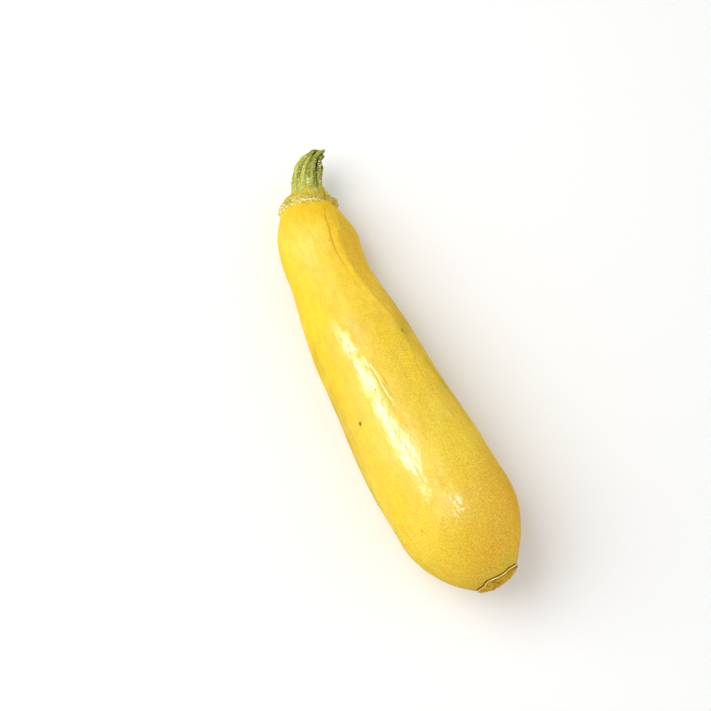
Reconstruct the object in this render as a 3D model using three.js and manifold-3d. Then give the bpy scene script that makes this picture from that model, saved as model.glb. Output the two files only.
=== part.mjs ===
// A yellow straightneck squash, as picked, lying on its side.
// It is two grown pieces: the waxy fruit, narrow at the neck and full at the blossom end, and the ribbed stem,
// whose foot flares over the fruit's shoulder. Millimetres, +Z up, +X from the stem towards the blossom end.
// Run it with the npm packages three and manifold-3d; the default export is the group of both meshes.

import * as THREE from "three";
import { mergeVertices } from "three/addons/utils/BufferGeometryUtils.js";
import Module from "manifold-3d";

// ---- Driving dimensions, in mm; x is measured from the top of the shoulder dome ----

const shoulderAt = 22; // where the dome under the stem reaches its full width
const bulgeAt = 150; // the widest place, where the blossom end starts to close
const noseAt = 187; // where the closing cone would come to a point
const scarAt = 181; // the rim of the blossom scar
const scarRadius = 9.9;
const scarHeight = 3.9; // how far the scar's button stands past its rim

// Each station is [x, sideways, height of the centre, radius].
const stations = [
  [0, 0.0, 13.8, 17.0],
  [10, -3.8, 15.6, 17.0],
  [22, -6.2, 17.3, 17.4],
  [33, -7.2, 17.8, 17.0],
  [45, -7.8, 19.2, 18.4],
  [66, -7.5, 21.4, 21.3],
  [90, -7.0, 22.7, 22.7],
  [120, -6.0, 24.7, 25.0],
  [150, -3.6, 25.2, 25.6],
  [170, -1.4, 24.0, 25.6],
  [188, 1.8, 22.6, 25.6],
];

const shoulderRoundness = 0.36; // exponents of the two closing ends: 0.5 is an ellipse, 1 a parabola
const noseRoundness = 0.78;
const scarRoundness = 0.45;

const ribCount = 5;
const neckRib = 0.04; // height of the ribs at the neck, as a share of the radius
const bulgeRib = 0.006;
const ribFade = 45; // length over which the neck's ribs soften
const ribAngle = 0.7; // where the first rib's crest settles, in radians above +Y
const ribTwist = 0.75; // how much further round it starts at the shoulder
const ribTwistLength = 45;

// The stem's middle line, from its root inside the shoulder to the cut tip.
const stemLine = [
  [9.5, -4.4, 14.9],
  [5.0, -2.7, 14.6],
  [0.4, -1.0, 14.4],
  [-3.0, 0.4, 14.5],
  [-6.8, 1.6, 14.8],
  [-10.4, 3.2, 15.2],
  [-13.7, 5.6, 15.8],
  [-16.4, 8.8, 16.5],
  [-17.5, 11.8, 17.3],
  [-17.3, 14.6, 17.9],
];
// [share of the stem's length from the root, radius]
const stemRadii = [
  [0.0, 6.0],
  [0.07, 10.8],
  [0.15, 13.0],
  [0.2, 12.8],
  [0.27, 11.3],
  [0.35, 9.2],
  [0.44, 7.2],
  [0.57, 6.7],
  [0.71, 5.9],
  [0.83, 4.5],
  [0.93, 3.0],
  [1.0, 2.2],
];
const stemRidges = 5;
const ridgeDepth = 0.13; // of the stem's radius
const footAt = 0.14; // share of the stem's length at which its foot is widest
const footLength = 0.16;
const footLobe = 0.05; // how far the ridges' feet spread past the flared foot's mean radius
const ridgeTurn = 0.35; // angle of the first ridge, in radians
const gap = 0.3; // between the stem's foot and the fruit

const fruitRings = 64;
const fruitSides = 48;
const stemRings = 28;
const stemSides = 40;
const poleShare = 0.001; // how far inside each end the first and last rings lie

// ---- Shapes ----

// A smooth curve through rows of [position, values...]; the returned function gives the values at a position.
function through(rows) {
  const positions = rows.map((row) => row[0]);
  const values = rows.flatMap((row) => row.slice(1));
  const size = rows[0].length - 1;
  const curve = new THREE.CubicInterpolant(positions, values, size, new Float32Array(size));
  return (at) => Array.from(curve.evaluate(THREE.MathUtils.clamp(at, positions[0], positions.at(-1))));
}

const bodyAt = through(stations);
const stemRadiusAt = through(stemRadii);

function bodyCentre(x) {
  const [side, height] = bodyAt(x);
  return new THREE.Vector3(x, side, height);
}

function closing(share, roundness) {
  return Math.pow(Math.max(0, 1 - share * share), roundness);
}

// The fruit's mean radius at x, closed at both ends, with the scar's low button on the nose.
function fruitRadius(x) {
  const full = bodyAt(x)[2];
  if (x < shoulderAt) return full * closing((shoulderAt - x) / shoulderAt, shoulderRoundness);
  if (x > scarAt) return scarRadius * closing((x - scarAt) / scarHeight, scarRoundness);
  if (x > bulgeAt) return full * closing((x - bulgeAt) / (noseAt - bulgeAt), noseRoundness);
  return full;
}

// The shallow ribs: strongest at the neck, and turning a little round the fruit as they leave the shoulder.
function ribHeight(x, angle) {
  const onDome = Math.min(1, x / shoulderAt);
  const strength = onDome * (bulgeRib + (neckRib - bulgeRib) * Math.exp(-Math.max(0, x - shoulderAt) / ribFade));
  const fromCrest = angle - ribAngle - ribTwist * Math.exp(-x / ribTwistLength);
  return strength * (Math.cos(ribCount * fromCrest) + 0.3 * Math.cos(2 * ribCount * fromCrest));
}

// A point on the ring square to the tangent; at angle 0 it is level, and it climbs as the angle grows.
function ringPoint(centre, tangent, radius, angle) {
  const across = new THREE.Vector3(0, 0, 1).cross(tangent).normalize();
  const over = tangent.clone().cross(across).normalize();
  return centre
    .clone()
    .addScaledVector(across, radius * Math.cos(angle))
    .addScaledVector(over, radius * Math.sin(angle));
}

// A closed skin over rings of points. pointAt(along, angle) is asked for along from 0 to 1.
function loft(pointAt, rings, sides, startPole, endPole) {
  const positions = [startPole.toArray()];
  for (let ring = 0; ring < rings; ring++) {
    for (let side = 0; side < sides; side++) {
      positions.push(pointAt(ring / (rings - 1), (side / sides) * 2 * Math.PI).toArray());
    }
  }
  positions.push(endPole.toArray());
  const last = positions.length - 1;
  const indices = [];
  const vertex = (ring, side) => 1 + ring * sides + (side % sides);
  for (let side = 0; side < sides; side++) {
    indices.push(0, vertex(0, side + 1), vertex(0, side));
    indices.push(last, vertex(rings - 1, side), vertex(rings - 1, side + 1));
    for (let ring = 0; ring < rings - 1; ring++) {
      const [a, b] = [vertex(ring, side), vertex(ring, side + 1)];
      const [c, d] = [vertex(ring + 1, side + 1), vertex(ring + 1, side)];
      indices.push(a, b, c, a, c, d);
    }
  }
  const geometry = new THREE.BufferGeometry();
  geometry.setAttribute("position", new THREE.Float32BufferAttribute(positions.flat(), 3));
  geometry.setIndex(indices);
  return geometry;
}

// The fruit's skin. Rings lie closer together towards both ends.
function fruitGeometry() {
  const end = scarAt + scarHeight;
  const step = 0.5;
  const tangentAt = (x) => bodyCentre(x + step).sub(bodyCentre(x - step)).normalize();
  const pointAt = (along, angle) => {
    const share = poleShare + (1 - 2 * poleShare) * 0.5 * (1 - Math.cos(Math.PI * along));
    const x = share * end;
    return ringPoint(bodyCentre(x), tangentAt(x), fruitRadius(x) * (1 + ribHeight(x, angle)), angle);
  };
  return loft(pointAt, fruitRings, fruitSides, bodyCentre(0), bodyCentre(end));
}

// The same skin moved outwards along its normals.
function grown(geometry, distance) {
  geometry.computeVertexNormals();
  const { position, normal } = geometry.attributes;
  const point = new THREE.Vector3();
  const outwards = new THREE.Vector3();
  for (let i = 0; i < position.count; i++) {
    outwards.fromBufferAttribute(normal, i);
    point.fromBufferAttribute(position, i).addScaledVector(outwards, distance);
    position.setXYZ(i, point.x, point.y, point.z);
  }
  geometry.deleteAttribute("normal");
  return geometry;
}

// The stem: a ribbed horn along its middle line, flaring into a lobed foot.
function stemGeometry() {
  const line = new THREE.CatmullRomCurve3(stemLine.map((point) => new THREE.Vector3(...point)));
  const pointAt = (along, angle) => {
    const foot = Math.exp(-Math.pow((along - footAt) / footLength, 2));
    const ridge = Math.abs(Math.cos((stemRidges * (angle - ridgeTurn)) / 2));
    const shape = 1 - ridgeDepth * (1 - foot) * (1 - ridge) + footLobe * foot * (2 * ridge - 1);
    return ringPoint(line.getPointAt(along), line.getTangentAt(along), stemRadiusAt(along)[0] * shape, angle);
  };
  return loft(pointAt, stemRings, stemSides, line.getPointAt(0), line.getPointAt(1));
}

// ---- Cutting and joining ----

const wasm = await Module();
wasm.setup();

function toSolid(geometry) {
  const merged = mergeVertices(geometry, 1e-4);
  return new wasm.Manifold(
    new wasm.Mesh({
      numProp: 3,
      vertProperties: new Float32Array(merged.attributes.position.array),
      triVerts: new Uint32Array(merged.index.array),
    }),
  );
}

function toGeometry(solid) {
  const mesh = solid.getMesh();
  const geometry = new THREE.BufferGeometry();
  geometry.setAttribute("position", new THREE.Float32BufferAttribute(mesh.vertProperties, mesh.numProp));
  geometry.setIndex(new THREE.BufferAttribute(mesh.triVerts, 1));
  geometry.computeVertexNormals();
  return geometry;
}

// Everything below the surface that the squash lies on: it leaves the flat patch that the fruit rests on.
function groundSolid() {
  const depth = 20;
  const ground = new THREE.BoxGeometry(400, 200, depth);
  ground.deleteAttribute("normal");
  ground.deleteAttribute("uv");
  ground.translate(100, 0, -depth / 2);
  return toSolid(ground);
}

const fruitSolid = toSolid(fruitGeometry()).subtract(groundSolid());
const stemSolid = toSolid(stemGeometry()).subtract(toSolid(grown(fruitGeometry(), gap)));

// ---- The squash ----

const skin = new THREE.MeshStandardMaterial({ color: 0xfbd94b, roughness: 0.32, metalness: 0 });
const stalk = new THREE.MeshStandardMaterial({ color: 0xa3b04c, roughness: 0.7, metalness: 0 });

const fruit = new THREE.Mesh(toGeometry(fruitSolid), skin);
fruit.name = "fruit";
const stem = new THREE.Mesh(toGeometry(stemSolid), stalk);
stem.name = "stem";

const squash = new THREE.Group();
squash.name = "yellow_squash";
squash.add(fruit, stem);

// The origin is the middle of the squash, on the surface that it lies on.
const middle = new THREE.Box3().setFromObject(squash).getCenter(new THREE.Vector3());
for (const piece of squash.children) piece.position.set(-middle.x, -middle.y, 0);

export default squash;
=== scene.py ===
import math
import bpy
import numpy as np
from mathutils import Matrix, Vector


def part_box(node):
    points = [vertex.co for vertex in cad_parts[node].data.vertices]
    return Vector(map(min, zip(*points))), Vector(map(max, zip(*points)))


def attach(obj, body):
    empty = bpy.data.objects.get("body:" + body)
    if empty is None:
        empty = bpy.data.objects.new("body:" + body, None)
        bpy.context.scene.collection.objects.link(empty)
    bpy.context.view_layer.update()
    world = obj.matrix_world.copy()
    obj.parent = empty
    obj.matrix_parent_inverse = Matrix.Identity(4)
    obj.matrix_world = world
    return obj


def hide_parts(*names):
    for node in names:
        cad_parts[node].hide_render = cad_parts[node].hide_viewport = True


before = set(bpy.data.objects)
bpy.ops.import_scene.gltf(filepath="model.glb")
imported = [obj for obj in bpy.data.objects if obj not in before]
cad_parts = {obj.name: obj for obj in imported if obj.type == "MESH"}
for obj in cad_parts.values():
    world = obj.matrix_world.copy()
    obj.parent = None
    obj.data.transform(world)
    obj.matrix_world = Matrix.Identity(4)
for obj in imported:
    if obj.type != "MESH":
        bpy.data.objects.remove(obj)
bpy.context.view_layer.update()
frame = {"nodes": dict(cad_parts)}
mm = 0.001
print("frame loaded:", ", ".join(frame["nodes"]))


# helpers for shapes: everything is worked out in mm and written to meshes in metres
def curveThrough(rows, at):
    # values at each position in at, on a smooth curve through rows of [position, value, value...]
    rows = np.array(rows, float)
    where, values = rows[:, 0], rows[:, 1:]
    slopes = np.diff(values, axis=0) / np.diff(where)[:, None]
    tangents = np.vstack([slopes[:1], (slopes[:-1] + slopes[1:]) / 2, slopes[-1:]])
    at = np.clip(at, where[0], where[-1])
    k = np.clip(np.searchsorted(where, at, side="right") - 1, 0, len(where) - 2)
    width = (where[k + 1] - where[k])[:, None]
    u = (at - where[k])[:, None] / width
    return (
        values[k] * (2 * u**3 - 3 * u**2 + 1)
        + tangents[k] * width * (u**3 - 2 * u**2 + u)
        + values[k + 1] * (3 * u**2 - 2 * u**3)
        + tangents[k + 1] * width * (u**3 - u**2)
    )


def softNoise(along, around, cells, seed):
    # smooth bumps in about -1..1; along runs 0..1, around is an angle and repeats
    rows, columns = cells
    values = np.random.default_rng(seed).uniform(-1, 1, (rows + 4, columns))
    x = np.clip(along, 0, 1) * rows
    y = (around / (2 * math.pi)) % 1.0 * columns
    i, j = np.floor(x).astype(int), np.floor(y).astype(int)

    def weights(t):
        return (
            (1 - t) ** 3 / 6,
            (3 * t**3 - 6 * t**2 + 4) / 6,
            (-3 * t**3 + 3 * t**2 + 3 * t + 1) / 6,
            t**3 / 6,
        )

    total = 0
    for a, rowWeight in enumerate(weights(x - i)):
        for b, columnWeight in enumerate(weights(y - j)):
            total = total + rowWeight * columnWeight * values[np.minimum(i + a, rows + 3), (j + b) % columns]
    return total * 2.0


def cellPattern(points, size, seed):
    # for each point in mm: how far it lies from the border of its cell, 0..1, and a random tone for the cell
    grid = np.floor(points / size).astype(int)
    nearest = np.full(points.shape[:-1], 9.0)
    second = nearest.copy()
    tone = np.zeros_like(nearest)
    centres = np.random.default_rng(seed).random((17, 19, 23, 4))
    for i in (-1, 0, 1):
        for j in (-1, 0, 1):
            for k in (-1, 0, 1):
                cell = grid + (i, j, k)
                drawn = centres[cell[..., 0] % 17, cell[..., 1] % 19, cell[..., 2] % 23]
                apart = np.linalg.norm(points / size - cell - drawn[..., :3], axis=-1)
                closer = apart < nearest
                second = np.where(closer, nearest, np.minimum(second, apart))
                tone = np.where(closer, drawn[..., 3], tone)
                nearest = np.where(closer, apart, nearest)
    return np.clip(second - nearest, 0, 1), tone


def smoothStep(low, high, value):
    t = np.clip((value - low) / (high - low), 0, 1)
    return t * t * (3 - 2 * t)


def angleFrom(angle, centre):
    # signed difference of two angles, in radians
    return (angle - centre + math.pi) % (2 * math.pi) - math.pi


def within(value, start, end):
    # 1 between two soft borders, 0 outside them
    return smoothStep(*start, value) * (1 - smoothStep(*end, value))


def bell(distance, width):
    return np.exp(-((distance / width) ** 2))


def patchOver(along, around, length, width):
    # an oval patch of 1 that falls to 0, for distances along and around a piece
    return bell(np.hypot(along / length, around / width), 1.0)


def rowsAlong(rows, at):
    # the values in rows of [place, value, value...], each read off at every place in the array at
    return np.moveaxis(curveThrough(rows, at.reshape(-1)).reshape(*at.shape, -1), -1, 0)


def strongest(like, layers):
    # the largest of several layers at each place, and never less than 0
    return np.maximum.reduce([np.zeros_like(like), *layers])


def ringsAbout(centres, across, over, radius, angle):
    # points at a radius and an angle round each centre
    return centres + radius[..., None] * (across * np.cos(angle)[..., None] + over * np.sin(angle)[..., None])


def framesAlong(centres):
    # for a line of centres: its tangents, level across directions, and the third direction square to both
    tangents = np.gradient(centres, axis=0)
    tangents /= np.linalg.norm(tangents, axis=1)[:, None]
    across = np.cross([0, 0, 1], tangents)
    across /= np.linalg.norm(across, axis=1)[:, None]
    return tangents, across, np.cross(tangents, across)


def skinOver(name, rings, startPole, endPole, masks, material, flow=None):
    # closed mesh over an array of rings x sides x 3, in mm; masks are rings x sides arrays of 0..1;
    # flow, shaped like rings, is a place measured along and around the piece, for patterns that follow it
    ringCount, sideCount = rings.shape[:2]
    points = np.vstack([startPole[None], rings.reshape(-1, 3), endPole[None]]) * mm
    index = 1 + np.arange(ringCount * sideCount).reshape(ringCount, sideCount)
    nextSide = np.roll(index, -1, axis=1)
    quads = np.stack([index[:-1], nextSide[:-1], nextSide[1:], index[1:]], axis=-1).reshape(-1, 4)
    startFan = np.stack([np.zeros(sideCount, int), nextSide[0], index[0]], axis=-1)
    endFan = np.stack([np.full(sideCount, len(points) - 1), index[-1], nextSide[-1]], axis=-1)
    faces = [tuple(f) for f in quads.tolist()] + [tuple(f) for f in startFan.tolist() + endFan.tolist()]
    mesh = bpy.data.meshes.new(name)
    mesh.from_pydata(points.tolist(), [], faces)
    for maskName, mask in masks.items():
        values = np.concatenate([[mask[0].mean()], mask.reshape(-1), [mask[-1].mean()]])
        layer = mesh.attributes.new(maskName, "FLOAT", "POINT")
        layer.data.foreach_set("value", values.astype(np.float32))
    if flow is not None:
        values = np.vstack([flow[0].mean(axis=0), flow.reshape(-1, 3), flow[-1].mean(axis=0)]) * mm
        layer = mesh.attributes.new("flow", "FLOAT_VECTOR", "POINT")
        layer.data.foreach_set("vector", values.astype(np.float32).reshape(-1))
    mesh.shade_smooth()
    mesh.materials.append(material)
    piece = bpy.data.objects.new(name, mesh)
    bpy.context.scene.collection.objects.link(piece)
    return piece


# helpers for node trees
def newSocket(tree, name, inOut, kind, value=None):
    made = tree.interface.new_socket(name=name, in_out=inOut, socket_type=kind)
    if value is not None:
        made.default_value = value


def fill(tree, socket, value):
    if isinstance(value, bpy.types.NodeSocket):
        tree.links.new(value, socket)
    elif value is not None:
        socket.default_value = value


def addNode(tree, kind, settings=None, **inputs):
    node = tree.nodes.new(kind)
    for key, value in (settings or {}).items():
        setattr(node, key, value)
    for key, value in inputs.items():
        fill(tree, node.inputs[key], value)
    return node


def maths(tree, operation, a, b=None, c=None, clamp=False):
    node = tree.nodes.new("ShaderNodeMath")
    node.operation, node.use_clamp = operation, clamp
    for socket, value in zip(node.inputs, (a, b, c)):
        fill(tree, socket, value)
    return node.outputs[0]


def mixColour(tree, factor, a, b):
    # a Mix node has a row of sockets for each kind of data; 6, 7 and output 2 are the colours
    node = addNode(tree, "ShaderNodeMix", {"data_type": "RGBA", "clamp_factor": True})
    fill(tree, node.inputs[0], factor)
    fill(tree, node.inputs[6], a)
    fill(tree, node.inputs[7], b)
    return node.outputs[2]


def mapRange(tree, value, low, high):
    # 0 below low, 1 above high, smooth between
    node = addNode(tree, "ShaderNodeMapRange", {"interpolation_type": "SMOOTHSTEP"})
    for socket, given in zip(node.inputs, (value, low, high)):
        fill(tree, socket, given)
    return node.outputs[0]


def colour(red, green, blue):
    # 0..255 as on a colour chart, to the linear colour that a node wants
    def linear(c):
        c /= 255
        return c / 12.92 if c <= 0.04045 else ((c + 0.055) / 1.055) ** 2.4

    return linear(red), linear(green), linear(blue), 1.0


def newGroup(name, inputs, outputs):
    tree = bpy.data.node_groups.new(name, "ShaderNodeTree")
    for socketName, (kind, value) in inputs.items():
        newSocket(tree, socketName, "INPUT", kind, value)
    for socketName, kind in outputs.items():
        newSocket(tree, socketName, "OUTPUT", kind)
    return tree, tree.nodes.new("NodeGroupInput").outputs, tree.nodes.new("NodeGroupOutput").inputs


def useGroup(tree, group, **inputs):
    node = tree.nodes.new("ShaderNodeGroup")
    node.node_tree = group
    for key, value in inputs.items():
        fill(tree, node.inputs[key], value)
    return node.outputs


def newMaterial(name):
    material = bpy.data.materials.new(name)
    material.use_nodes = True
    return material, material.node_tree, material.node_tree.nodes["Principled BSDF"]


def placeOf(tree):
    return tree.nodes.new("ShaderNodeTexCoord").outputs["Object"]


def maskOf(tree, name):
    return addNode(tree, "ShaderNodeAttribute", {"attribute_name": name}).outputs["Fac"]


def mottleOf(tree, place, scale, stretch=(1.0, 1.0, 1.0)):
    return useGroup(tree, softMottle, Vector=place, Scale=scale, Stretch=stretch)["Mask"]


def stained(tree, tone, mask, amount, stain):
    # a share of a stain over a tone, where the mask allows; amount is a number or a socket
    return mixColour(tree, maths(tree, "MULTIPLY", mask, amount), tone, stain)


def layered(tree, tone, finish, names):
    # each named colour in turn over the tone, by the attribute of the same name
    for name in names:
        tone = mixColour(tree, maskOf(tree, name), tone, finish[name])
    return tone


def bumped(tree, shader, height, strength, distance):
    bump = addNode(tree, "ShaderNodeBump", Height=height, Strength=strength, Distance=distance)
    fill(tree, shader.inputs["Normal"], bump.outputs[0])
    return bump.outputs[0]


def setConstants(node, constants):
    for socketName, value in constants.items():
        node.inputs[socketName].default_value = value


# effects that several materials share

# soft cloudy variation; Stretch squeezes the pattern along each axis
softMottle, given, out = newGroup(
    "softMottle",
    {"Vector": ("NodeSocketVector", None), "Scale": ("NodeSocketFloat", 80.0),
     "Stretch": ("NodeSocketVector", (1, 1, 1))},
    {"Mask": "NodeSocketFloat"},
)
stretched = addNode(softMottle, "ShaderNodeVectorMath", {"operation": "MULTIPLY"})
fill(softMottle, stretched.inputs[0], given["Vector"])
fill(softMottle, stretched.inputs[1], given["Stretch"])
cloud = addNode(softMottle, "ShaderNodeTexNoise", Vector=stretched.outputs[0], Scale=given["Scale"],
                Detail=3.0, Roughness=0.55)
fill(softMottle, out["Mask"], mapRange(softMottle, cloud.outputs["Fac"], 0.3, 0.7))

# small round spots of uneven size; Coverage 0..1 says how much of the surface they take
fineSpots, given, out = newGroup(
    "fineSpots",
    {"Vector": ("NodeSocketVector", None), "Scale": ("NodeSocketFloat", 600.0),
     "Coverage": ("NodeSocketFloat", 0.3)},
    {"Mask": "NodeSocketFloat"},
)
cells = addNode(fineSpots, "ShaderNodeTexVoronoi", {"feature": "F1"}, Vector=given["Vector"],
                Scale=given["Scale"], Randomness=1.0)
cellColour = addNode(fineSpots, "ShaderNodeSeparateColor", Color=cells.outputs["Color"])
reach = maths(fineSpots, "MULTIPLY", cellColour.outputs[0], given["Coverage"])
reach = maths(fineSpots, "ADD", reach, 0.02)  # keeps the division clear of 0
share = maths(fineSpots, "DIVIDE", cells.outputs["Distance"], reach)
spot = maths(fineSpots, "SUBTRACT", 1.0, share, clamp=True)
fill(fineSpots, out["Mask"], mapRange(fineSpots, spot, 0.0, 0.6))

# height of crusty cork: plates of uneven outline with low gaps between them
corkCrust, given, out = newGroup(
    "corkCrust",
    {"Vector": ("NodeSocketVector", None), "Scale": ("NodeSocketFloat", 900.0)},
    {"Height": "NodeSocketFloat"},
)
warp = addNode(corkCrust, "ShaderNodeTexNoise", Vector=given["Vector"], Scale=given["Scale"], Detail=2.0)
bent = addNode(corkCrust, "ShaderNodeVectorMath", {"operation": "MULTIPLY_ADD"})
fill(corkCrust, bent.inputs[0], warp.outputs["Color"])
bent.inputs[1].default_value = (0.0009, 0.0009, 0.0009)  # how far the outlines wander, in metres
fill(corkCrust, bent.inputs[2], given["Vector"])
plates = addNode(corkCrust, "ShaderNodeTexVoronoi", {"feature": "DISTANCE_TO_EDGE"}, Vector=bent.outputs[0],
                 Scale=given["Scale"])
fill(corkCrust, out["Height"], mapRange(corkCrust, plates.outputs["Distance"], 0.0, 0.3))


# the waxy skin

skinFinish = {
    "yellow": colour(250, 210, 34),
    "paleYellow": colour(253, 227, 98),
    "gold": colour(250, 200, 8),
    # painted shade: deeper orange where the flat flank and the right side turn away from the light
    "amber": colour(240, 178, 8),
    "tan": colour(228, 161, 8),
    "olive": colour(184, 164, 58),
    "crease": colour(210, 140, 4),
    "scratch": colour(196, 158, 60),
    "bruise": colour(150, 134, 16),
    "speck": colour(40, 20, 6),
    "spot": colour(200, 144, 14),
    "flake": colour(255, 240, 96),
    # painted shade: the darker, browner tone of the lower half and of the neck's hollow
    "paintedUnderShade": colour(178, 128, 16),
    # each pattern's scale and its stretch along x, y and z
    "clouds": [38.0, (0.35, 1.0, 1.0)],
    "streaks": [420.0, (0.08, 1.0, 1.0)],
    "patches": [290.0, (0.7, 1.0, 1.0)],
    "grain": [2200.0, (0.8, 1.0, 1.0)],
    "haze": [260.0, (0.5, 1.0, 1.0)],
    "ripple": [700.0, (0.6, 1.0, 1.0)],
    "darkSpots": [1300.0, 0.45],  # scale and coverage
    "paleSpots": [1150.0, 0.4],
    # how strongly each of them stains the skin
    "streakAmount": 0.14,
    "patchAmount": 0.22,
    "flakeAmount": 0.55,
    "hollowAmount": 0.32,
    "spotAmount": 0.4,
    "bodyRoughness": 0.42,
    "hazeRoughness": 0.10,
    "wornRoughness": 0.30,
    # how much of the wax each of these takes away
    "dullLoss": 0.95,
    "hazeLoss": 0.3,
    "spotLoss": 0.6,
    "rippleHeight": 1.3,
    "bump": [0.6, 0.00007],  # strength, and depth in metres
    "constants": {
        "Coat Roughness": 0.205,
        "Coat IOR": 1.66,
        "Specular IOR Level": 0.2,
        "Subsurface Weight": 0.25,
        "Subsurface Radius": (1.0, 0.45, 0.12),
        "Subsurface Scale": 0.004,
        "IOR": 1.4,
    },
}


def makeSkin():
    finish = skinFinish
    material, tree, shader = newMaterial("waxyYellowSkin")
    place = placeOf(tree)
    tone = mixColour(tree, mottleOf(tree, place, *finish["clouds"]), finish["yellow"], finish["paleYellow"])
    tone = layered(tree, tone, finish, ["gold", "amber", "tan", "olive"])
    # lengthwise streaks, patches a few mm across, then the fine stipple
    streaks = mottleOf(tree, place, *finish["streaks"])
    tone = stained(tree, tone, streaks, finish["streakAmount"], finish["spot"])
    patches = mottleOf(tree, place, *finish["patches"])
    tone = stained(tree, tone, patches, finish["patchAmount"], finish["spot"])
    grit = maskOf(tree, "grit")
    grain = mottleOf(tree, place, *finish["grain"])
    hollows = maths(tree, "SUBTRACT", 1.0, grain)
    dark, pale = [useGroup(tree, fineSpots, Vector=place, Scale=scale, Coverage=coverage)["Mask"]
                  for scale, coverage in (finish["darkSpots"], finish["paleSpots"])]
    for pattern, amount, stain in (
        (grain, finish["flakeAmount"], "flake"),
        (hollows, finish["hollowAmount"], "spot"),
        (dark, finish["spotAmount"], "spot"),
        (pale, finish["spotAmount"], "flake"),
    ):
        tone = stained(tree, tone, pattern, maths(tree, "MULTIPLY", grit, amount), finish[stain])
    tone = layered(tree, tone, finish, ["crease", "scratch", "bruise", "speck", "paintedUnderShade"])
    fill(tree, shader.inputs["Base Color"], tone)
    haze = mottleOf(tree, place, *finish["haze"])
    rough = maths(tree, "MULTIPLY_ADD", haze, finish["hazeRoughness"], finish["bodyRoughness"])
    rough = maths(tree, "MULTIPLY_ADD", maskOf(tree, "dull"), finish["wornRoughness"], rough)
    fill(tree, shader.inputs["Roughness"], rough)
    # the wax is worn off the neck and lies unevenly on the rest
    wax = maths(tree, "MULTIPLY_ADD", maskOf(tree, "dull"), -finish["dullLoss"], 1.0)
    wax = maths(tree, "MULTIPLY", wax, maths(tree, "MULTIPLY_ADD", haze, -finish["hazeLoss"], 1.0))
    wax = maths(tree, "MULTIPLY", wax, maths(tree, "SUBTRACT", 1.0, maskOf(tree, "worn")))
    wax = maths(tree, "MULTIPLY", wax, maths(tree, "MULTIPLY_ADD", dark, -finish["spotLoss"], 1.0))
    wax = maths(tree, "MULTIPLY", wax, maths(tree, "SUBTRACT", 1.0, maskOf(tree, "speck")), clamp=True)
    fill(tree, shader.inputs["Coat Weight"], wax)
    ripple = mottleOf(tree, place, *finish["ripple"])
    height = maths(tree, "SUBTRACT", maths(tree, "MULTIPLY", ripple, finish["rippleHeight"]), dark)
    pores = bumped(tree, shader, height, *finish["bump"])
    fill(tree, shader.inputs["Coat Normal"], pores)
    setConstants(shader, finish["constants"])
    return material


skinMaterial = makeSkin()


# the fruit

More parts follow.
